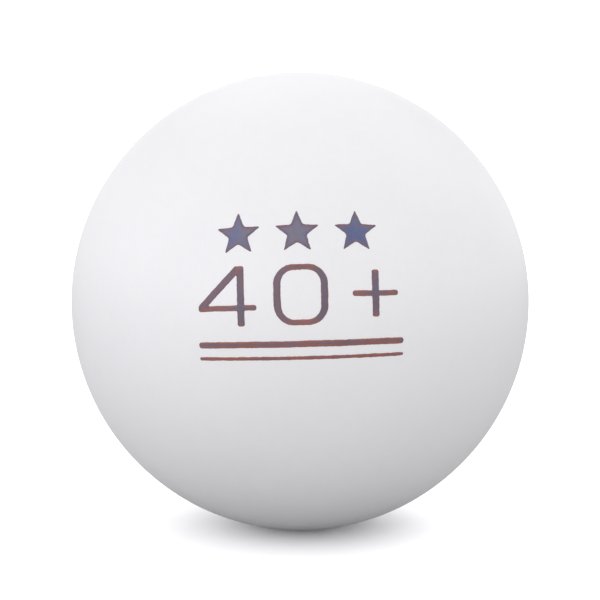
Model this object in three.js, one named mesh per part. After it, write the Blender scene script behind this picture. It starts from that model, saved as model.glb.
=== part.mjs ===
// Two-piece table tennis ball, millimetres, +Z up.
// The origin is the centre of the ball. The seam lies in the XZ plane, so the two half shells meet at y = 0 and the
// joint's axis is Y. The half shell on the -Y side carries the printed mark.

import * as THREE from "three";
import { TessellateModifier } from "three/addons/modifiers/TessellateModifier.js";

// ---- driving dimensions (mm) ----
const BALL_DIAMETER = 40.1;          // plastic ball, within the 40.0 to 40.6 mm of the approved range
const WALL = 0.5;                    // general wall of the half shells
const LAND = 0.7;                    // thicker wall at the rim, where the halves are joined
const TONGUE_DEPTH = 1.0;            // how far the front half's tongue reaches into the rear half
const TONGUE_OUTER = 0.38;           // depth of the tongue's outer face under the ball's surface
const CEMENT_GAP = 0.04;             // cement film between the halves
const CEMENT_RECESS = 0.03;          // the cement ends this far under the surface
const SEAM_CHAMFER = 0.08;           // width of the broken edge on each side of the seam
const BEAD_HEIGHT = 0.2;             // squeezed-out cement inside the joint
const BEAD_HALF_WIDTH = 0.28;

const INK_GAP = 0.004;               // the ink film starts this far above the shell's nominal surface
const INK_FILM = 0.02;               // thickness of the ink film
const MARK_ELEVATION = 8.0;          // degrees, direction of the middle of the mark above the -Y axis
const MARK_TILT = 1.5;               // degrees, the mark's rows rise to the right
const STAR_OUTER = 1.83;             // centre to the sharp tip, before it is rounded
const STAR_INNER = 0.78;             // centre to the sharp notch
const STAR_TIP_ROUND = 0.05;
const STAR_NOTCH_ROUND = 0.25;
const STAR_ROW = 4.72;               // height of the stars' centres over the middle of the mark
const STAR_PITCH = 4.62;
const STAR_ROW_MIDDLE = -0.13;
const GLYPH_TOP = 2.2;
const GLYPH_BOTTOM = -2.5;
const STEM = 0.56;                   // width of the upright strokes
const BAR = 0.44;                    // and of the level ones
const STROKE_ROUND = 0.18;           // rounding at the ends of the strokes
const FOUR_LEFT = -8.1;
const FOUR_WIDTH = 4.7;
const NOUGHT_MIDDLE = 0.05;
const NOUGHT_WIDTH = 4.2;
const PLUS_MIDDLE = 5.9;
const PLUS_SPAN = 3.7;
const RULE_LENGTH = 16.4;
const RULE_BROAD = 0.5;
const RULE_FINE = 0.28;
const RULE_BROAD_ROW = -3.95;
const RULE_FINE_ROW = -5.05;

// ---- fineness ----
const AROUND = 64;                   // facets around the Y axis, shared by every turned piece
const RINGS_OUTER = 16;              // steps from pole to seam on the outside
const RINGS_INNER = 11;              // and on the inside
const INK_STEP = 0.85;               // longest edge of an ink film
const RULE_STEPS = 22;               // steps along a ruled line

const R = BALL_DIAMETER / 2;
const R_INNER = R - WALL;
const R_LAND = R - LAND;                          // cylindrical bore of the land
const R_TONGUE = R - TONGUE_OUTER;                // tongue's outer face
const R_SOCKET = R_TONGUE + CEMENT_GAP;           // rear half's face around the tongue
const R_CEMENT = R - CEMENT_RECESS;
const HALF_GAP = CEMENT_GAP / 2;
const SOCKET_DEPTH = TONGUE_DEPTH + CEMENT_GAP;

const WHITE_SHELL = new THREE.MeshStandardMaterial({ color: 0xeef0f2, roughness: 0.5, metalness: 0 });
const WHITE_SHELL_REAR = new THREE.MeshStandardMaterial({ color: 0xedeff1, roughness: 0.5, metalness: 0 });
const CEMENT = new THREE.MeshStandardMaterial({ color: 0xe2e2dc, roughness: 0.4, metalness: 0 });
const STAR_INK = new THREE.MeshStandardMaterial({ color: 0x75759a, roughness: 0.6, metalness: 0 });
const MARK_INK = new THREE.MeshStandardMaterial({ color: 0x7b6678, roughness: 0.6, metalness: 0 });

const group = new THREE.Group();

function add(name, geometry, material) {
  const mesh = new THREE.Mesh(geometry, material);
  mesh.name = name;
  group.add(mesh);
  return mesh;
}

// A turned piece: the profile is a list of [radius, y], turned about the Y axis. The order is set so that the faces
// point out, whichever way round the list was written.
function turned(profile) {
  let twice = 0;
  for (let i = 0; i < profile.length; i++) {
    const [r0, y0] = profile[i];
    const [r1, y1] = profile[(i + 1) % profile.length];
    twice += r0 * y1 - r1 * y0;
  }
  const ordered = twice > 0 ? profile.slice() : profile.slice().reverse();
  const first = ordered[0], last = ordered[ordered.length - 1];
  const onAxis = first[0] === 0 && last[0] === 0;
  if (!onAxis) ordered.push(first);
  return new THREE.LatheGeometry(ordered.map(([r, y]) => new THREE.Vector2(r, y)), AROUND);
}

// Points on a circle of radius `radius` about the centre, from the pole on the Y axis to the height `toY`.
function arc(radius, side, toY, steps) {
  const end = Math.acos(Math.abs(toY) / radius);
  const points = [];
  for (let i = 0; i <= steps; i++) {
    const a = (end * i) / steps;
    points.push([i === 0 ? 0 : radius * Math.sin(a), side * radius * Math.cos(a)]);
  }
  return points;
}

// Where the spherical inside runs into the cylindrical bore of the land.
const LAND_END = Math.sqrt(R_INNER * R_INNER - R_LAND * R_LAND);

// ---- front half shell: pole, outside, broken edge, shoulder, tongue, bore, inside, pole ----
{
  const outside = arc(R, -1, SEAM_CHAMFER, RINGS_OUTER);
  const inside = arc(R_INNER, -1, LAND_END, RINGS_INNER).reverse();
  const profile = [
    ...outside,
    [R_CEMENT, -HALF_GAP],
    [R_TONGUE, -HALF_GAP],
    [R_TONGUE, TONGUE_DEPTH],
    [R_LAND, TONGUE_DEPTH],
    ...inside,
  ];
  add("printed_half_shell", turned(profile), WHITE_SHELL);
}

// ---- rear half shell: the same wall with a socket round the tongue ----
{
  const outside = arc(R, 1, SEAM_CHAMFER, RINGS_OUTER);
  const inside = arc(R_INNER, 1, LAND_END, RINGS_INNER).reverse();
  const profile = [
    ...outside,
    [R_CEMENT, HALF_GAP],
    [R_SOCKET, HALF_GAP],
    [R_SOCKET, SOCKET_DEPTH],
    [R_LAND, SOCKET_DEPTH],
    ...inside,
  ];
  add("plain_half_shell", turned(profile), WHITE_SHELL_REAR);
}

// ---- cement: a stepped film between the halves, ending in a rounded bead inside ----
{
  const middle = (TONGUE_DEPTH + SOCKET_DEPTH) / 2;
  const bead = [];
  for (let i = 0; i <= 6; i++) {
    const a = (Math.PI * i) / 6;
    bead.push([R_LAND - BEAD_HEIGHT * Math.sin(a), middle + BEAD_HALF_WIDTH * Math.cos(a)]);
  }
  add("seam_cement", turned([
    [R_CEMENT, -HALF_GAP],
    [R_CEMENT, HALF_GAP],
    [R_SOCKET, HALF_GAP],
    [R_SOCKET, SOCKET_DEPTH],
    [R_LAND, SOCKET_DEPTH],
    ...bead,
    [R_LAND, TONGUE_DEPTH],
    [R_TONGUE, TONGUE_DEPTH],
    [R_TONGUE, -HALF_GAP],
  ]), CEMENT);
}

// ---- ink films ----
// A flat outline in the mark's own plane (u right, v up, mm along the surface) becomes a thin film that follows the
// ball: the distance from the middle of the mark becomes an arc of the same length on the sphere.
const elevation = THREE.MathUtils.degToRad(MARK_ELEVATION);
const tilt = THREE.MathUtils.degToRad(MARK_TILT);
const facing = new THREE.Vector3(0, -Math.cos(elevation), Math.sin(elevation));
const east = new THREE.Vector3(1, 0, 0);
const north = new THREE.Vector3().crossVectors(facing, east).normalize();
const uAxis = east.clone().multiplyScalar(Math.cos(tilt)).addScaledVector(north, Math.sin(tilt));
const vAxis = north.clone().multiplyScalar(Math.cos(tilt)).addScaledVector(east, -Math.sin(tilt));

function inkFilm(shape, curveSegments = 16) {
  const flat = new THREE.ExtrudeGeometry(shape, { depth: INK_FILM, bevelEnabled: false, curveSegments });
  return laidOnBall(new TessellateModifier(INK_STEP, 24).modify(flat));
}

function laidOnBall(fine) {
  const position = fine.getAttribute("position");
  const direction = new THREE.Vector3();
  for (let i = 0; i < position.count; i++) {
    const u = position.getX(i), v = position.getY(i), w = position.getZ(i);
    const along = Math.hypot(u, v);
    const angle = along / R;
    direction.copy(facing).multiplyScalar(Math.cos(angle));
    if (along > 0) {
      direction.addScaledVector(uAxis, (Math.sin(angle) * u) / along);
      direction.addScaledVector(vAxis, (Math.sin(angle) * v) / along);
    }
    direction.normalize().multiplyScalar(R + INK_GAP + (w > INK_FILM / 2 ? INK_FILM : 0));
    position.setXYZ(i, direction.x, direction.y, direction.z);
  }
  fine.deleteAttribute("normal");
  fine.deleteAttribute("uv");
  fine.computeVertexNormals();
  return fine;
}

// A closed outline of [x, y, radius] corners, each corner rounded by its radius, whether it points out or in.
function outline(corners, steps = 3) {
  const points = [];
  const count = corners.length;
  for (let i = 0; i < count; i++) {
    const [x, y, radius] = corners[i];
    if (!radius) {
      points.push(new THREE.Vector2(x, y));
      continue;
    }
    const here = new THREE.Vector2(x, y);
    const before = new THREE.Vector2(...corners[(i + count - 1) % count].slice(0, 2)).sub(here);
    const after = new THREE.Vector2(...corners[(i + 1) % count].slice(0, 2)).sub(here);
    const half = Math.acos(THREE.MathUtils.clamp(before.dot(after) / (before.length() * after.length()), -1, 1)) / 2;
    const reach = Math.min(radius / Math.tan(half), 0.48 * before.length(), 0.48 * after.length());
    const rounding = reach * Math.tan(half);
    before.normalize();
    after.normalize();
    const middle = before.clone().add(after).normalize().multiplyScalar(rounding / Math.sin(half)).add(here);
    const from = here.clone().addScaledVector(before, reach).sub(middle);
    const to = here.clone().addScaledVector(after, reach).sub(middle);
    const start = Math.atan2(from.y, from.x);
    let sweep = Math.atan2(to.y, to.x) - start;
    while (sweep > Math.PI) sweep -= 2 * Math.PI;
    while (sweep < -Math.PI) sweep += 2 * Math.PI;
    for (let k = 0; k <= steps; k++) {
      const a = start + (sweep * k) / steps;
      points.push(new THREE.Vector2(middle.x + rounding * Math.cos(a), middle.y + rounding * Math.sin(a)));
    }
  }
  return points;
}

function patch(corners, steps = 3) {
  return new THREE.Shape(outline(corners, steps));
}

function star(cu, cv) {
  const corners = [];
  for (let i = 0; i < 10; i++) {
    const a = Math.PI / 2 + (i * Math.PI) / 5;
    const tip = i % 2 === 0;
    const r = tip ? STAR_OUTER : STAR_INNER;
    corners.push([cu + r * Math.cos(a), cv + r * Math.sin(a), tip ? STAR_TIP_ROUND : STAR_NOTCH_ROUND]);
  }
  return patch(corners);
}

add("star_print_left", inkFilm(star(STAR_ROW_MIDDLE - STAR_PITCH, STAR_ROW)), STAR_INK);
add("star_print_centre", inkFilm(star(STAR_ROW_MIDDLE, STAR_ROW)), STAR_INK);
add("star_print_right", inkFilm(star(STAR_ROW_MIDDLE + STAR_PITCH, STAR_ROW)), STAR_INK);

// Figure four: stem, bar and slope, with the triangular counter.
{
  const left = FOUR_LEFT, right = FOUR_LEFT + FOUR_WIDTH, low = GLYPH_BOTTOM, top = GLYPH_TOP, round = STROKE_ROUND;
  const stemRight = right - 0.95, stemLeft = stemRight - STEM;
  const barLow = low + 1.22, barTop = barLow + BAR;
  const slopeTop = stemLeft - 0.12;
  const slope = (top - barTop) / (slopeTop - left);
  const across = STEM * Math.sqrt(1 + slope * slope);      // height of the sloping stroke, measured upright
  const shape = patch([
    [stemLeft, low, round], [stemRight, low, round], [stemRight, barLow], [right, barLow, round],
    [right, barTop, round], [stemRight, barTop], [stemRight, top, round], [slopeTop, top, round],
    [left, barTop, round], [left, barLow, round], [stemLeft, barLow],
  ]);
  shape.holes.push(new THREE.Path(outline([
    [left + across / slope, barTop, 0.06],
    [stemLeft, top + slope * (stemLeft - slopeTop) - across, 0.06],
    [stemLeft, barTop, 0.06],
  ], 2)));
  add("print_digit_4", inkFilm(shape), MARK_INK);
}

// Figure nought: an upright ring with straight sides.
{
  const middle = (GLYPH_TOP + GLYPH_BOTTOM) / 2, height = (GLYPH_TOP - GLYPH_BOTTOM) / 2, width = NOUGHT_WIDTH / 2;
  const box = (w, h, r) => [
    [NOUGHT_MIDDLE - w, middle - h, r], [NOUGHT_MIDDLE + w, middle - h, r],
    [NOUGHT_MIDDLE + w, middle + h, r], [NOUGHT_MIDDLE - w, middle + h, r],
  ];
  const shape = patch(box(width, height, 1.55), 8);
  shape.holes.push(new THREE.Path(outline(box(width - STEM, height - BAR, 1.05), 8)));
  add("print_digit_0", inkFilm(shape), MARK_INK);
}

// Plus sign.
{
  const cu = PLUS_MIDDLE, cv = (GLYPH_TOP + GLYPH_BOTTOM) / 2, arm = PLUS_SPAN / 2, h = STEM / 2, b = BAR / 2;
  const round = STROKE_ROUND;
  add("print_plus_sign", inkFilm(patch([
    [cu - h, cv - arm, round], [cu + h, cv - arm, round], [cu + h, cv - b], [cu + arm, cv - b, round],
    [cu + arm, cv + b, round], [cu + h, cv + b], [cu + h, cv + arm, round], [cu - h, cv + arm, round],
    [cu - h, cv + b], [cu - arm, cv + b, round], [cu - arm, cv - b, round], [cu - h, cv - b],
  ])), MARK_INK);
}

// Two ruled lines under the size mark.
function rule(cv, thickness) {
  const flat = new THREE.BoxGeometry(RULE_LENGTH, thickness, INK_FILM, RULE_STEPS, 1, 1);
  flat.translate(0, cv, INK_FILM / 2);
  return laidOnBall(flat);
}

add("print_rule_broad", rule(RULE_BROAD_ROW, RULE_BROAD), MARK_INK);
add("print_rule_fine", rule(RULE_FINE_ROW, RULE_FINE), MARK_INK);

export default group;
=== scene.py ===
import math

import bpy
import numpy as np
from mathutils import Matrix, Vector


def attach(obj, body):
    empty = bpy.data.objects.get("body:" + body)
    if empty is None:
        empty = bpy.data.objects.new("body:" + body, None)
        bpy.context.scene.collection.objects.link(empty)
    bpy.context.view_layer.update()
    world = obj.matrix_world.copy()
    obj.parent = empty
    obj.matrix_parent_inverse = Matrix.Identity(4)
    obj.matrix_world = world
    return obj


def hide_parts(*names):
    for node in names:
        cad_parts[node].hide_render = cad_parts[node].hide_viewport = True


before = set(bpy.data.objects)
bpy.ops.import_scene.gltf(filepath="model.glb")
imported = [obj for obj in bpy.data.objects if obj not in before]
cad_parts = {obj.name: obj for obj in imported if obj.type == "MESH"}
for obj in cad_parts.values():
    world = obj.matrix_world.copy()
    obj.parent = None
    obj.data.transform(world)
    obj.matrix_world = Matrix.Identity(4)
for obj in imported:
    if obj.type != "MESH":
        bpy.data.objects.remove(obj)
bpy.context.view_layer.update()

# ------------------------------------------------------------------ dimensions (mm, as in the CAD model)
BALL_DIAMETER = 40.1
WALL = 0.5
LAND = 0.7
TONGUE_DEPTH = 1.0
TONGUE_OUTER = 0.38
CEMENT_GAP = 0.04
CEMENT_RECESS = 0.03
GROOVE_HALF = 0.10           # half width of the worn groove over the seam
BEAD_HEIGHT = 0.2
BEAD_HALF_WIDTH = 0.28

INK_GAP = 0.0006
INK_TOP = 0.024
MARK_ELEVATION = 8.0
MARK_TILT = 1.5
STAR_OUTER = 1.83
STAR_INNER = 0.78
STAR_TIP_ROUND = 0.05
STAR_NOTCH_ROUND = 0.25
STAR_ROW = 4.72
STAR_PITCH = 4.62
STAR_ROW_MIDDLE = -0.13
GLYPH_TOP = 2.2
GLYPH_BOTTOM = -2.5
STEM = 0.56
BAR = 0.44
STROKE_ROUND = 0.18
FOUR_LEFT = -8.1
FOUR_WIDTH = 4.7
NOUGHT_MIDDLE = 0.05
NOUGHT_WIDTH = 4.2
PLUS_MIDDLE = 5.9
PLUS_SPAN = 3.7
RULE_LENGTH = 16.4
RULE_BROAD = 0.5
RULE_FINE = 0.28
RULE_BROAD_ROW = -3.95
RULE_FINE_ROW = -5.05

R = BALL_DIAMETER / 2
R_INNER = R - WALL
R_LAND = R - LAND
R_TONGUE = R - TONGUE_OUTER
R_SOCKET = R_TONGUE + CEMENT_GAP
R_CEMENT = R - CEMENT_RECESS
HALF_GAP = CEMENT_GAP / 2
SOCKET_DEPTH = TONGUE_DEPTH + CEMENT_GAP
LAND_END = math.sqrt(R_INNER * R_INNER - R_LAND * R_LAND)

AROUND = 288                 # steps around the seam's axis
MM = 1e-3

# ------------------------------------------------------------------ camera
LENS = 100.0
BALL_PX = 228.8              # radius of the ball's outline in the 600 px frame
CAMERA_ELEVATION = math.radians(6.0)
AIM_RIGHT_MM = -0.01
AIM_UP_MM = 0.13

focal_px = 600 * LENS / 36
camera_distance = R / math.sin(math.atan(BALL_PX / focal_px))
cam_data = bpy.data.cameras.new("camera")
cam_data.lens = LENS
cam_data.sensor_width = 36
cam_data.clip_start = 0.005
cam_data.clip_end = 20
cam = bpy.data.objects.new("camera", cam_data)
bpy.context.scene.collection.objects.link(cam)
look = Vector((0, math.cos(CAMERA_ELEVATION), -math.sin(CAMERA_ELEVATION)))
cam_up = Vector((0, math.sin(CAMERA_ELEVATION), math.cos(CAMERA_ELEVATION)))
aim = Vector((AIM_RIGHT_MM * MM, 0, 0)) + cam_up * (AIM_UP_MM * MM)
cam.location = aim - look * (camera_distance * MM)
cam.rotation_euler = look.to_track_quat("-Z", "Y").to_euler()
bpy.context.scene.camera = cam


# ------------------------------------------------------------------ mesh helpers
def link(name, mesh, material=None):
    obj = bpy.data.objects.new(name, mesh)
    bpy.context.scene.collection.objects.link(obj)
    if material is not None:
        mesh.materials.append(material)
    return obj


def turned(name, profile, around=AROUND, sharp=32.0):
    """A piece turned about the Y axis. profile is a list of (radius, y) in mm that starts and ends on the axis, or closes on itself."""
    area = sum(
        profile[i][0] * profile[(i + 1) % len(profile)][1]
        - profile[(i + 1) % len(profile)][0] * profile[i][1]
        for i in range(len(profile))
    )
    if area < 0:
        profile = profile[::-1]
    poles = profile[0][0] == 0 and profile[-1][0] == 0
    verts, rings = [], []
    phi = np.arange(around) * (2 * math.pi / around)
    s, c = np.sin(phi), np.cos(phi)
    for r, y in profile:
        if r == 0:
            rings.append([len(verts)])
            verts.append((0.0, y * MM, 0.0))
        else:
            start = len(verts)
            verts.extend(zip(r * s * MM, np.full(around, y * MM), r * c * MM))
            rings.append(list(range(start, start + around)))
    faces = []
    steps = len(rings) - 1 if poles else len(rings)
    for i in range(steps):
        a, b = rings[i], rings[(i + 1) % len(rings)]
        for k in range(around):
            n = (k + 1) % around
            if len(a) == 1:
                faces.append((a[0], b[n], b[k]))
            elif len(b) == 1:
                faces.append((a[k], a[n], b[0]))
            else:
                faces.append((a[k], a[n], b[n], b[k]))
    mesh = bpy.data.meshes.new(name)
    mesh.from_pydata([tuple(map(float, v)) for v in verts], [], faces)
    mesh.update()
    if signed_volume(mesh) < 0:
        mesh.flip_normals()
    mesh.shade_smooth()
    mesh.set_sharp_from_angle(angle=math.radians(sharp))
    return mesh


def signed_volume(mesh):
    mesh.calc_loop_triangles()
    co = np.zeros(len(mesh.vertices) * 3)
    mesh.vertices.foreach_get("co", co)
    co = co.reshape(-1, 3)
    tri = np.zeros(len(mesh.loop_triangles) * 3, dtype=np.int64)
    mesh.loop_triangles.foreach_get("vertices", tri)
    a, b, c = co[tri.reshape(-1, 3)].transpose(1, 0, 2)
    return float(np.einsum("ij,ij->i", a, np.cross(b, c)).sum() / 6)


# ------------------------------------------------------------------ node helpers
def new_material(name):
    m = bpy.data.materials.new(name)
    m.use_nodes = True
    nt = m.node_tree
    nt.nodes.clear()
    out = nt.nodes.new("ShaderNodeOutputMaterial")
    bsdf = nt.nodes.new("ShaderNodeBsdfPrincipled")
    nt.links.new(bsdf.outputs["BSDF"], out.inputs["Surface"])
    return m, nt, bsdf


def node(nt, kind, inputs=None, **settings):
    n = nt.nodes.new(kind)
    for k, v in settings.items():
        setattr(n, k, v)
    for k, v in (inputs or {}).items():
        if isinstance(v, bpy.types.NodeSocket):
            nt.links.new(v, n.inputs[k])
        else:
            n.inputs[k].default_value = v
    return n


def noise(nt, vector, scale_per_mm, detail=2.0, roughness=0.5, distortion=0.0):
    return node(
        nt, "ShaderNodeTexNoise",
        {"Vector": vector, "Scale": scale_per_mm * 1000.0, "Detail": detail, "Roughness": roughness, "Distortion": distortion},
    ).outputs["Fac"]


def between(nt, value, low, high, to_low=0.0, to_high=1.0, smooth=False):
    n = node(nt, "ShaderNodeMapRange", {"Value": value, "From Min": low, "From Max": high, "To Min": to_low, "To Max": to_high})
    n.clamp = True
    if smooth:
        n.interpolation_type = "SMOOTHSTEP"
    return n.outputs["Result"]


def maths(nt, operation, a, b=None):
    return node(nt, "ShaderNodeMath", {0: a, **({} if b is None else {1: b})}, operation=operation).outputs[0]


def mix_colour(nt, factor, a, b, mode="MIX"):
    n = nt.nodes.new("ShaderNodeMix")
    n.data_type = "RGBA"
    n.blend_type = mode
    n.clamp_factor = True
    for socket, value in ((n.inputs[0], factor), (n.inputs[6], a), (n.inputs[7], b)):
        if isinstance(value, bpy.types.NodeSocket):
            nt.links.new(value, socket)
        elif isinstance(value, (int, float)):
            socket.default_value = value
        else:
            socket.default_value = (*value, 1.0)
    return n.outputs[2]


# ------------------------------------------------------------------ materials
SHELL_COLOUR = (0.803, 0.798, 0.8178)
SHELL_COLOUR_LOW = (0.791, 0.786, 0.8062)


def shell_material():
    m, nt, bsdf = new_material("abs_shell")
    place = node(nt, "ShaderNodeTexCoord").outputs["Object"]
    cloud = noise(nt, place, 0.11, detail=3.0, roughness=0.55)
    mottle = noise(nt, place, 1.3, detail=2.0)
    grain = noise(nt, place, 7.5, detail=2.0, roughness=0.6)
    dust = noise(nt, place, 2.9, detail=4.0, roughness=0.62, distortion=0.3)
    y = node(nt, "ShaderNodeSeparateXYZ", {"Vector": place}).outputs["Y"]
    from_seam = maths(nt, "ABSOLUTE", y)

    # colour: a slow cloudiness, a fine mottle, and a faint line of painted shade darkening the groove over the seam
    colour = mix_colour(nt, between(nt, cloud, 0.35, 0.65), SHELL_COLOUR_LOW, SHELL_COLOUR)
    tone = maths(nt, "ADD", between(nt, mottle, 0.3, 0.7, -0.006, 0.006), between(nt, grain, 0.25, 0.75, -0.010, 0.010))
    lift = maths(nt, "ADD", tone, 1.0)
    colour = mix_colour(nt, 1.0, colour, node(nt, "ShaderNodeCombineColor", {"Red": lift, "Green": lift, "Blue": lift}).outputs[0], "MULTIPLY")
    # painted shade: the shell's colour is darkened across the groove's recess over the seam
    groove = between(nt, from_seam, 0.00002, 0.00012, 1.0, 0.0, smooth=True)
    colour = mix_colour(nt, maths(nt, "MULTIPLY", groove, 0.55), colour, (0.60, 0.59, 0.565))
    specks = between(nt, dust, 0.765, 0.80, 0.0, 0.28, smooth=True)
    colour = mix_colour(nt, specks, colour, (0.52, 0.51, 0.50))
    nt.links.new(colour, bsdf.inputs["Base Color"])

    # sheen of the tumbled surface: satin, a little glossier in the band polished over the seam
    rough = maths(nt, "ADD", between(nt, mottle, 0.3, 0.7, 0.425, 0.465), between(nt, cloud, 0.3, 0.7, -0.015, 0.015))
    band = between(nt, from_seam, 0.0004, 0.0013, 0.055, 0.0, smooth=True)
    nt.links.new(maths(nt, "SUBTRACT", rough, band), bsdf.inputs["Roughness"])

    # relief: fine grain, a soft unevenness, and turned polishing marks beside the seam
    fine = node(nt, "ShaderNodeBump", {"Strength": 0.16, "Distance": 0.000004, "Height": grain})
    soft = node(nt, "ShaderNodeBump", {"Strength": 0.30, "Distance": 0.000010, "Height": mottle, "Normal": fine.outputs["Normal"]})
    scaled = node(nt, "ShaderNodeMapping", {"Vector": place, "Scale": (0.22, 9.0, 0.22)})
    marks = noise(nt, scaled.outputs["Vector"], 1.4, detail=3.0)
    turned_marks = maths(nt, "MULTIPLY", marks, between(nt, from_seam, 0.0006, 0.0016, 1.0, 0.0, smooth=True))
    polish = node(nt, "ShaderNodeBump", {"Strength": 0.35, "Distance": 0.000006, "Height": turned_marks, "Normal": soft.outputs["Normal"]})
    nt.links.new(polish.outputs["Normal"], bsdf.inputs["Normal"])

    bsdf.inputs["IOR"].default_value = 1.5
    bsdf.inputs["Specular IOR Level"].default_value = 0.5
    bsdf.inputs["Subsurface Weight"].default_value = 0.10
    bsdf.inputs["Subsurface Radius"].default_value = (0.6, 0.55, 0.5)
    bsdf.inputs["Subsurface Scale"].default_value = 0.0005
    return m


def cement_material():
    m, nt, bsdf = new_material("seam_cement")
    place = node(nt, "ShaderNodeTexCoord").outputs["Object"]
    blotch = noise(nt, place, 0.9, detail=3.0)
    nt.links.new(mix_colour(nt, between(nt, blotch, 0.3, 0.7), (0.58, 0.575, 0.545), (0.70, 0.70, 0.68)), bsdf.inputs["Base Color"])
    nt.links.new(between(nt, blotch, 0.3, 0.7, 0.32, 0.48), bsdf.inputs["Roughness"])
    bump = node(nt, "ShaderNodeBump", {"Strength": 0.4, "Distance": 0.00001, "Height": blotch})
    nt.links.new(bump.outputs["Normal"], bsdf.inputs["Normal"])
    return m


def ink_material(name, core, core_deep, edge, level, tip, rim, spread):
    """Pad-printed ink. Vertex attributes drive it: edge_mm is the distance from the outline, level is 1 by level edges and 0 by upright ones, tone picks between the two core colours, and reach is how far out along its stroke or arm a point is."""
    m, nt, bsdf = new_material(name)
    place = node(nt, "ShaderNodeTexCoord").outputs["Object"]
    read = lambda which: node(nt, "ShaderNodeAttribute", attribute_name=which, attribute_type="GEOMETRY").outputs["Fac"]
    patchy = noise(nt, place, 0.75, detail=3.0, roughness=0.6)
    mottle = noise(nt, place, 2.6, detail=3.0, roughness=0.6)
    grain = noise(nt, place, 14.0, detail=2.0, roughness=0.6)

    toned = maths(nt, "ADD", read("tone"), between(nt, patchy, 0.3, 0.7, -0.40, 0.40))
    colour = mix_colour(nt, toned, core, core_deep)
    # the film runs thin and warm toward the ends of level strokes and the points of a star
    outward = between(nt, read("reach"), spread[0], spread[1], smooth=True)
    uneven = maths(nt, "ADD", outward, between(nt, mottle, 0.25, 0.75, -0.30, 0.30))
    colour = mix_colour(nt, maths(nt, "MULTIPLY", uneven, read("level")), colour, level)
    inward = maths(nt, "ADD", between(nt, read("edge_mm"), rim[0], rim[1], smooth=True), between(nt, mottle, 0.25, 0.75, -0.30, 0.30))
    edged = mix_colour(nt, read("level"), edge, level)
    colour = mix_colour(nt, inward, edged, colour)
    colour = mix_colour(nt, between(nt, read("reach"), 0.66, 1.0, 0.0, 0.85, smooth=True), colour, tip)
    lift = maths(nt, "ADD", between(nt, grain, 0.3, 0.7, 0.92, 1.08), between(nt, patchy, 0.3, 0.7, -0.10, 0.10))
    colour = mix_colour(nt, 1.0, colour, node(nt, "ShaderNodeCombineColor", {"Red": lift, "Green": lift, "Blue": lift}).outputs[0], "MULTIPLY")
    thin = between(nt, grain, 0.72, 0.78, 0.0, 0.45, smooth=True)
    colour = mix_colour(nt, thin, colour, (0.62, 0.60, 0.63))
    nt.links.new(colour, bsdf.inputs["Base Color"])
    nt.links.new(between(nt, mottle, 0.3, 0.7, 0.48, 0.60), bsdf.inputs["Roughness"])
    bump = node(nt, "ShaderNodeBump", {"Strength": 0.35, "Distance": 0.000006, "Height": grain})
    nt.links.new(bump.outputs["Normal"], bsdf.inputs["Normal"])
    bsdf.inputs["IOR"].default_value = 1.48
    return m


shell = shell_material()
cement = cement_material()
star_ink = ink_material(
    "star_ink", core=(0.176, 0.164, 0.225), core_deep=(0.080, 0.107, 0.232),
    edge=(0.135, 0.104, 0.155), level=(0.195, 0.098, 0.125), tip=(0.150, 0.072, 0.085),
    rim=(0.0, 0.34), spread=(0.35, 0.95),
)
mark_ink = ink_material(
    "mark_ink", core=(0.152, 0.103, 0.140), core_deep=(0.112, 0.101, 0.146),
    edge=(0.180, 0.083, 0.098), level=(0.285, 0.100, 0.075), tip=(0.23, 0.080, 0.06),
    rim=(0.0, 0.20), spread=(0.10, 0.85),
)


# ------------------------------------------------------------------ shells and cement
def half_profile(side):
    """Outside from the pole to the groove, the groove's wall, the lap joint's faces, and the inside back to the pole. side is -1 for the printed half."""
    stop = math.acos(0.9 / R)
    points = [(0.0 if i == 0 else R * math.sin(stop * i / 92), side * R * math.cos(stop * i / 92)) for i in range(93)]
    for y in (0.72, 0.56, 0.42, 0.3, 0.22, 0.16, 0.125):
        points.append((math.sqrt(R * R - y * y), side * y))
    for k in range(9):
        t = k / 8
        y = GROOVE_HALF + (HALF_GAP - GROOVE_HALF) * t
        dip = CEMENT_RECESS * (0.5 - 0.5 * math.cos(math.pi * t))
        points.append((math.sqrt(R * R - y * y) - dip, side * y))
    points[-1] = (R_CEMENT, side * HALF_GAP)
    if side < 0:
        points += [(R_TONGUE, -HALF_GAP), (R_TONGUE, TONGUE_DEPTH - 0.05), (R_TONGUE - 0.05, TONGUE_DEPTH), (R_LAND, TONGUE_DEPTH)]
    else:
        points += [(R_SOCKET, HALF_GAP), (R_SOCKET, SOCKET_DEPTH), (R_LAND, SOCKET_DEPTH)]
    inner_stop = math.acos(LAND_END / R_INNER)
    inner = [(0.0 if i == 0 else R_INNER * math.sin(inner_stop * i / 40), side * R_INNER * math.cos(inner_stop * i / 40)) for i in range(41)]
    return points + inner[::-1]


front = link("ball_front_half", turned("ball_front_half", half_profile(-1)), shell)
rear = link("ball_rear_half", turned("ball_rear_half", half_profile(1)), shell)
middle = (TONGUE_DEPTH + SOCKET_DEPTH) / 2
bead = [(R_LAND - BEAD_HEIGHT * math.sin(math.pi * i / 12), middle + BEAD_HALF_WIDTH * math.cos(math.pi * i / 12)) for i in range(13)]
ring = link(
    "seam_cement_ring",
    turned(
        "seam_cement_ring",
        [(R_CEMENT, -HALF_GAP), (R_CEMENT - 0.004, 0.0), (R_CEMENT, HALF_GAP), (R_SOCKET, HALF_GAP), (R_SOCKET, SOCKET_DEPTH), (R_LAND, SOCKET_DEPTH), *bead, (R_LAND, TONGUE_DEPTH), (R_TONGUE - 0.05, TONGUE_DEPTH), (R_TONGUE, TONGUE_DEPTH - 0.05), (R_TONGUE, -HALF_GAP)],
    ),
    cement,
)
for piece, cad, slot in ((front, "printed_half_shell", "shell"), (rear, "plain_half_shell", "shell"), (ring, "seam_cement", "cement")):
    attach(piece, "root")
    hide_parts(cad)


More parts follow.
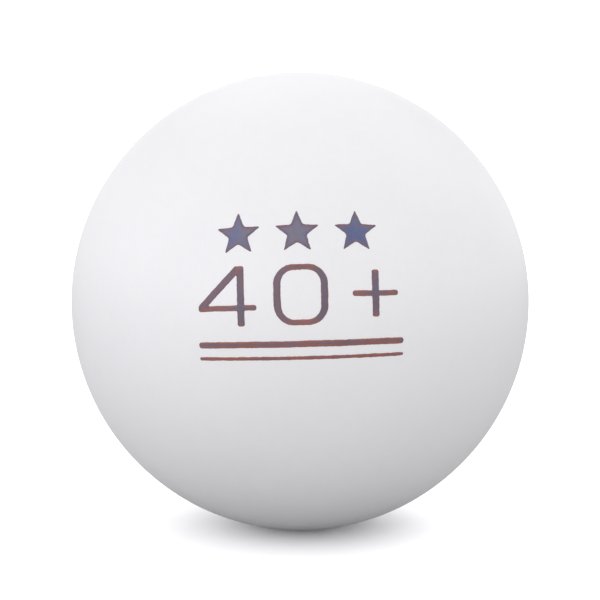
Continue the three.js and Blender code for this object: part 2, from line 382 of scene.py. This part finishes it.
# ------------------------------------------------------------------ ink films
elevation, tilt = math.radians(MARK_ELEVATION), math.radians(MARK_TILT)
facing = np.array([0, -math.cos(elevation), math.sin(elevation)])
east = np.array([1.0, 0, 0])
north = np.cross(facing, east)
u_axis = east * math.cos(tilt) + north * math.sin(tilt)
v_axis = north * math.cos(tilt) - east * math.sin(tilt)


def outline(corners, steps=8):
    """A closed outline of (x, y, radius) corners, each rounded by its radius, whether it points out or in."""
    points, count = [], len(corners)
    for i, corner in enumerate(corners):
        x, y, radius = (*corner, 0.0)[:3]
        here = np.array([x, y])
        if not radius:
            points.append(here)
            continue
        before = np.array(corners[i - 1][:2]) - here
        after = np.array(corners[(i + 1) % count][:2]) - here
        lb, la = np.linalg.norm(before), np.linalg.norm(after)
        half = math.acos(max(-1.0, min(1.0, float(before @ after) / (lb * la)))) / 2
        reach = min(radius / math.tan(half), 0.48 * lb, 0.48 * la)
        rounding = reach * math.tan(half)
        before, after = before / lb, after / la
        bisector = before + after
        centre = here + bisector / np.linalg.norm(bisector) * (rounding / math.sin(half))
        a, b = here + before * reach - centre, here + after * reach - centre
        start = math.atan2(a[1], a[0])
        sweep = (math.atan2(b[1], b[0]) - start + math.pi) % (2 * math.pi) - math.pi
        for k in range(steps + 1):
            t = start + sweep * k / steps
            points.append(centre + rounding * np.array([math.cos(t), math.sin(t)]))
    return np.array(points)


def inside_distance(loops, p):
    """How far each point of p lies inside the shape bounded by the loops, in mm, and below 0 outside it."""
    best = np.full(len(p), 1e9)
    inside = np.zeros(len(p), bool)
    for loop in loops:
        for a, b in zip(loop, np.roll(loop, -1, axis=0)):
            ab = b - a
            t = np.clip(((p - a) @ ab) / max(float(ab @ ab), 1e-12), 0, 1)
            best = np.minimum(best, np.hypot(*(p - a - t[:, None] * ab).T))
            crosses = (a[1] > p[:, 1]) != (b[1] > p[:, 1])
            with np.errstate(divide="ignore", invalid="ignore"):
                at = a[0] + (p[:, 1] - a[1]) * (b[0] - a[0]) / (b[1] - a[1])
            inside ^= crosses & (p[:, 0] < at)
    return np.where(inside, best, -best)


def waves(p, seed, size, count=14):
    """A smooth unevenness of about unit height, repeating over about `size` mm."""
    rng = np.random.default_rng(seed)
    total = np.zeros(len(p))
    for _ in range(count):
        a = rng.uniform(0, 2 * math.pi)
        k = 2 * math.pi / (size * rng.uniform(0.7, 1.5))
        total += np.sin(k * (p[:, 0] * math.cos(a) + p[:, 1] * math.sin(a)) + rng.uniform(0, 2 * math.pi))
    return total / math.sqrt(count / 2)


def ink_film(name, node_name, material, loops, centre, reach, tone, seed, step=0.05):
    """A closed film with a domed edge, laid on the ball. The outline is the zero line of the distance from the drawn shape, with the small unevenness of a printed edge."""
    every = np.concatenate(loops)
    low, high = every.min(0) - 3 * step, every.max(0) + 3 * step
    nx, ny = (np.ceil((high - low) / step)).astype(int) + 1
    gx, gy = np.meshgrid(low[0] + step * np.arange(nx), low[1] + step * np.arange(ny), indexing="ij")
    grid = np.c_[gx.ravel(), gy.ravel()]
    drawn = inside_distance(loops, grid)
    depth = drawn + 0.007 * waves(grid, seed, 1.1) + 0.005 * waves(grid, seed + 1, 0.36)
    depth = np.where(np.abs(depth) < 1e-5, 1e-5, depth)
    field = depth.reshape(nx, ny)
    du, dv = np.gradient(drawn.reshape(nx, ny), step)
    level_field = np.clip((dv**2 / (du**2 + dv**2 + 1e-6) - 0.55) / 0.40, 0, 1)

    places, facts, ids = [], [], {}

    def corner(i, j):
        key = (0, i, j)
        if key not in ids:
            ids[key] = len(places)
            places.append((gx[i, j], gy[i, j]))
            facts.append((field[i, j], level_field[i, j]))
        return ids[key]

    def crossing(i, j, k, l):
        key = (1, *min((i, j), (k, l)), *max((i, j), (k, l)))
        if key not in ids:
            a, b = field[i, j], field[k, l]
            t = min(0.94, max(0.06, a / (a - b)))
            ids[key] = len(places)
            places.append((gx[i, j] + t * (gx[k, l] - gx[i, j]), gy[i, j] + t * (gy[k, l] - gy[i, j])))
            facts.append((0.0, level_field[i, j] * (1 - t) + level_field[k, l] * t))
        return ids[key]

    polygons, rim = [], []
    for i in range(nx - 1):
        for j in range(ny - 1):
            square = [(i, j), (i + 1, j), (i + 1, j + 1), (i, j + 1)]
            signs = [field[c] > 0 for c in square]
            if not any(signs):
                continue
            if all(signs):
                polygons.append([corner(*c) for c in square])
                continue
            if signs in ([True, False, True, False], [False, True, False, True]):
                for n in range(4):
                    if signs[n]:
                        c, before, after = square[n], square[n - 1], square[(n + 1) % 4]
                        first, last = crossing(*before, *c), crossing(*c, *after)
                        polygons.append([first, corner(*c), last])
                        rim.append((last, first))
                continue
            loop = []
            for n in range(4):
                c, after = square[n], square[(n + 1) % 4]
                if signs[n]:
                    loop.append(("in", corner(*c)))
                if signs[n] != signs[(n + 1) % 4]:
                    loop.append(("out" if signs[n] else "back", crossing(*c, *after)))
            polygons.append([k for _, k in loop])
            for n in range(len(loop)):
                if loop[n][0] == "out" and loop[(n + 1) % len(loop)][0] == "back":
                    rim.append((loop[n][1], loop[(n + 1) % len(loop)][1]))

    places = np.array(places)
    facts = np.array(facts)
    along = np.hypot(*places.T)
    angle = along / R
    share = np.sin(angle) / np.maximum(along, 1e-9)
    direction = facing * np.cos(angle)[:, None] + u_axis * (share * places[:, 0])[:, None] + v_axis * (share * places[:, 1])[:, None]
    direction /= np.linalg.norm(direction, axis=1)[:, None]
    rise = np.clip(facts[:, 0] / 0.11, 0, 1)
    rise = 0.25 + 0.75 * np.sqrt(rise * (2 - rise))
    uneven = 1 + 0.06 * waves(places, seed + 2, 0.6)
    top = (R + INK_GAP + (INK_TOP - INK_GAP) * np.minimum(rise * 0.9 * uneven, 1.0)) * MM
    low_verts = direction * (R + INK_GAP) * MM
    verts = np.concatenate([direction * top[:, None], low_verts])
    n = len(places)
    faces = [tuple(p) for p in polygons] + [tuple(k + n for k in reversed(p)) for p in polygons]
    faces += [(b, a, a + n, b + n) for a, b in rim]
    mesh = bpy.data.meshes.new(name)
    mesh.from_pydata(verts.tolist(), [], faces)
    mesh.update()
    if signed_volume(mesh) < 0:
        mesh.flip_normals()
    mesh.shade_smooth()
    mesh.set_sharp_from_angle(angle=math.radians(50))

    centre = np.array(centre)
    attributes = {
        "edge_mm": inside_distance(loops, places),
        "level": facts[:, 1],
        "tone": np.clip(tone(places - centre), 0, 1),
        "reach": reach(places - centre),
    }
    for key, values in attributes.items():
        both = np.tile(values, 2).astype(np.float32)
        mesh.attributes.new(key, "FLOAT", "POINT").data.foreach_set("value", both)
    obj = link(name, mesh, material)
    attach(obj, "root")
    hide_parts(node_name)
    return obj


def star(cu, cv):
    corners = []
    for i in range(10):
        a = math.pi / 2 + i * math.pi / 5
        r, rounding = (STAR_OUTER, STAR_TIP_ROUND) if i % 2 == 0 else (STAR_INNER, STAR_NOTCH_ROUND)
        corners.append((cu + r * math.cos(a), cv + r * math.sin(a), rounding))
    return [outline(corners)]


STAR_TONES = {
    "left": lambda p: 0.30 - 0.16 * p[:, 1] - 0.05 * p[:, 0],
    "centre": lambda p: 0.10 + 0.18 * p[:, 0] - 0.05 * p[:, 1],
    "right": lambda p: 0.85 - 0.30 * p[:, 1] - 0.12 * p[:, 0],
}
for k, (side, shift) in enumerate((("left", -1), ("centre", 0), ("right", 1))):
    cu = STAR_ROW_MIDDLE + shift * STAR_PITCH
    ink_film(
        f"ink_star_{side}", f"star_print_{side}", star_ink, star(cu, STAR_ROW),
        (cu, STAR_ROW), lambda p: np.hypot(*p.T) / STAR_OUTER, STAR_TONES[side], 11 + 10 * k,
    )


def four():
    left, right, low, top, r = FOUR_LEFT, FOUR_LEFT + FOUR_WIDTH, GLYPH_BOTTOM, GLYPH_TOP, STROKE_ROUND
    stem_right = right - 0.95
    stem_left = stem_right - STEM
    bar_low = low + 1.22
    bar_top = bar_low + BAR
    slope_top = stem_left - 0.12
    slope = (top - bar_top) / (slope_top - left)
    across = STEM * math.sqrt(1 + slope * slope)
    solid = [
        (stem_left, low, r), (stem_right, low, r), (stem_right, bar_low, 0.05), (right, bar_low, r), (right, bar_top, r),
        (stem_right, bar_top, 0.05), (stem_right, top, r), (slope_top, top, r), (left, bar_top, r), (left, bar_low, r), (stem_left, bar_low, 0.05),
    ]
    counter = [
        (left + across / slope, bar_top, 0.06),
        (stem_left, top + slope * (stem_left - slope_top) - across, 0.06),
        (stem_left, bar_top, 0.06),
    ]
    return [outline(solid), outline(counter)]


def nought():
    mid, h, w = (GLYPH_TOP + GLYPH_BOTTOM) / 2, (GLYPH_TOP - GLYPH_BOTTOM) / 2, NOUGHT_WIDTH / 2

    def box(w, h, r):
        return [(NOUGHT_MIDDLE - w, mid - h, r), (NOUGHT_MIDDLE + w, mid - h, r), (NOUGHT_MIDDLE + w, mid + h, r), (NOUGHT_MIDDLE - w, mid + h, r)]

    return [outline(box(w, h, 1.55), 20), outline(box(w - STEM, h - BAR, 1.05), 20)]


def plus():
    cu, cv, arm, h, b, r = PLUS_MIDDLE, (GLYPH_TOP + GLYPH_BOTTOM) / 2, PLUS_SPAN / 2, STEM / 2, BAR / 2, STROKE_ROUND
    return [outline([
        (cu - h, cv - arm, r), (cu + h, cv - arm, r), (cu + h, cv - b, 0.05), (cu + arm, cv - b, r), (cu + arm, cv + b, r), (cu + h, cv + b, 0.05),
        (cu + h, cv + arm, r), (cu - h, cv + arm, r), (cu - h, cv + b, 0.05), (cu - arm, cv + b, r), (cu - arm, cv - b, r), (cu - h, cv - b, 0.05),
    ])]


def rule(cv, thickness):
    a, h = RULE_LENGTH / 2, thickness / 2
    return [outline([(-a, cv - h, h * 0.9), (a, cv - h, h * 0.9), (a, cv + h, h * 0.9), (-a, cv + h, h * 0.9)])]


glyph_middle = (GLYPH_TOP + GLYPH_BOTTOM) / 2
four_crossing = (FOUR_LEFT + FOUR_WIDTH - 0.95 - STEM / 2, GLYPH_BOTTOM + 1.22 + BAR / 2)


def rule_reach(p):
    return 0.42 + 0.13 * np.sin(1.15 * p[:, 0] + 0.6) + 0.08 * np.sin(2.7 * p[:, 0])


ink_film("ink_digit_4", "print_digit_4", mark_ink, four(), four_crossing, lambda p: np.minimum(np.hypot(*p.T) / 3.6, 0.50), lambda p: 1.0 - 0.35 * np.hypot(*p.T), 41)
ink_film("ink_digit_0", "print_digit_0", mark_ink, nought(), (NOUGHT_MIDDLE, glyph_middle), lambda p: 0.42 + 0.08 * p[:, 0] - 0.03 * p[:, 1], lambda p: 0.45 + 0.2 * p[:, 0], 51)
ink_film("ink_plus_sign", "print_plus_sign", mark_ink, plus(), (PLUS_MIDDLE, glyph_middle), lambda p: np.minimum(np.hypot(*p.T) / 2.6, 0.62), lambda p: 1.1 - 0.7 * np.hypot(*p.T), 61)
ink_film("ink_rule_broad", "print_rule_broad", mark_ink, rule(RULE_BROAD_ROW, RULE_BROAD), (0, RULE_BROAD_ROW), rule_reach, lambda p: 0.4 + 0.3 * np.sin(0.9 * p[:, 0]), 71)
ink_film("ink_rule_fine", "print_rule_fine", mark_ink, rule(RULE_FINE_ROW, RULE_FINE), (0, RULE_FINE_ROW), lambda p: rule_reach(p + 1.0) + 0.04, lambda p: 0.3 + 0.0 * p[:, 0], 81, step=0.04)


# ------------------------------------------------------------------ floor, world and lights (not part of the object)
FLOOR_BOUNCE = 0.50                  # the share of its light that the floor throws back at the ball
FLOOR_SEEN = 1.50                    # the floor as the camera is exposed for it: it burns out to white away from the ball
WORLD_LIGHT = 0.851
BACKDROP = 1.05
COOL = (0.975, 0.985, 1.03)
PLAIN = (1.0, 1.0, 1.0)
SUNS = (                             # name, azimuth from straight ahead of the ball and elevation in degrees, irradiance over pi, colour
    ("low_left_front", -45, 6, 0.150, COOL),
    ("low_left", -90, 6, 0.140, COOL),
    ("low_left_back", -135, 6, 0.029, COOL),
    ("low_back", 180, 6, 0.050, COOL),
    ("low_right_back", 135, 6, 0.057, PLAIN),
    ("low_right", 90, 6, 0.096, PLAIN),
    ("low_right_front", 45, 6, 0.096, PLAIN),
    ("high_right_back", 120, 45, 0.086, COOL),
    ("high_back", 180, 45, 0.068, COOL),
)
SOFTBOXES = (                        # name, azimuth and elevation in degrees, width and height in metres at half a metre, brightness, colour
    ("soft_left", -30, 8, 0.46, 0.20, 0.222, PLAIN),
    ("soft_high_left", -35, 25, 0.46, 0.36, 0.100, COOL),
    ("soft_front", 0, 10, 0.40, 0.19, 0.205, PLAIN),
)


def floor_material():
    """Plain white all over. Its shading is the light's own: the only choice made here is one exposure for the camera and one share thrown back."""
    m = bpy.data.materials.new("floor")
    m.use_nodes = True
    nt = m.node_tree
    nt.nodes.clear()
    out = nt.nodes.new("ShaderNodeOutputMaterial")
    seen = node(nt, "ShaderNodeLightPath").outputs["Is Camera Ray"]
    shade = between(nt, seen, 0.0, 1.0, FLOOR_BOUNCE, FLOOR_SEEN)
    colour = node(nt, "ShaderNodeCombineColor", {"Red": shade, "Green": shade, "Blue": shade}).outputs[0]
    diffuse = node(nt, "ShaderNodeBsdfDiffuse", {"Color": colour})
    nt.links.new(diffuse.outputs[0], out.inputs["Surface"])
    return m


def build_stage():
    mesh = bpy.data.meshes.new("floor")
    n, reach = 96, 3.0
    verts = [(reach * math.cos(2 * math.pi * k / n), reach * math.sin(2 * math.pi * k / n), -R * MM) for k in range(n)]
    mesh.from_pydata(verts, [], [tuple(range(n))])
    floor = link("floor", mesh, floor_material())

    world = bpy.data.worlds.new("studio")
    bpy.context.scene.world = world
    world.use_nodes = True
    nt = world.node_tree
    nt.nodes.clear()
    out = nt.nodes.new("ShaderNodeOutputWorld")
    seen = node(nt, "ShaderNodeLightPath").outputs["Is Camera Ray"]
    strength = between(nt, seen, 0.0, 1.0, WORLD_LIGHT, BACKDROP)
    back = node(nt, "ShaderNodeBackground", {"Color": (1, 1, 1, 1), "Strength": strength})
    nt.links.new(back.outputs[0], out.inputs["Surface"])

    def aim_from(light, azimuth, elevation, away=0.0):
        a, e = math.radians(azimuth), math.radians(elevation)
        source = Vector((math.sin(a) * math.cos(e), -math.cos(a) * math.cos(e), math.sin(e)))
        light.location = source * away
        light.rotation_euler = (-source).to_track_quat("-Z", "Y").to_euler()
        bpy.context.scene.collection.objects.link(light)

    for name, azimuth, elevation, irradiance, colour in SUNS:
        data = bpy.data.lights.new(name, "SUN")
        data.energy = irradiance * math.pi
        data.angle = math.radians(40)
        data.color = colour
        aim_from(bpy.data.objects.new(name, data), azimuth, elevation)

    for name, azimuth, elevation, width, height, brightness, colour in SOFTBOXES:
        data = bpy.data.lights.new(name, "AREA")
        data.shape = "RECTANGLE"
        data.size, data.size_y = width, height
        data.energy = brightness * width * height * math.pi**2
        data.color = colour
        light = bpy.data.objects.new(name, data)
        light.visible_camera = False
        aim_from(light, azimuth, elevation, 0.5)


build_stage()
bpy.context.scene.view_settings.view_transform = "Standard"
bpy.context.scene.view_settings.look = "None"
bpy.context.scene.view_settings.exposure = 0.0
bpy.context.scene.view_settings.gamma = 1.0
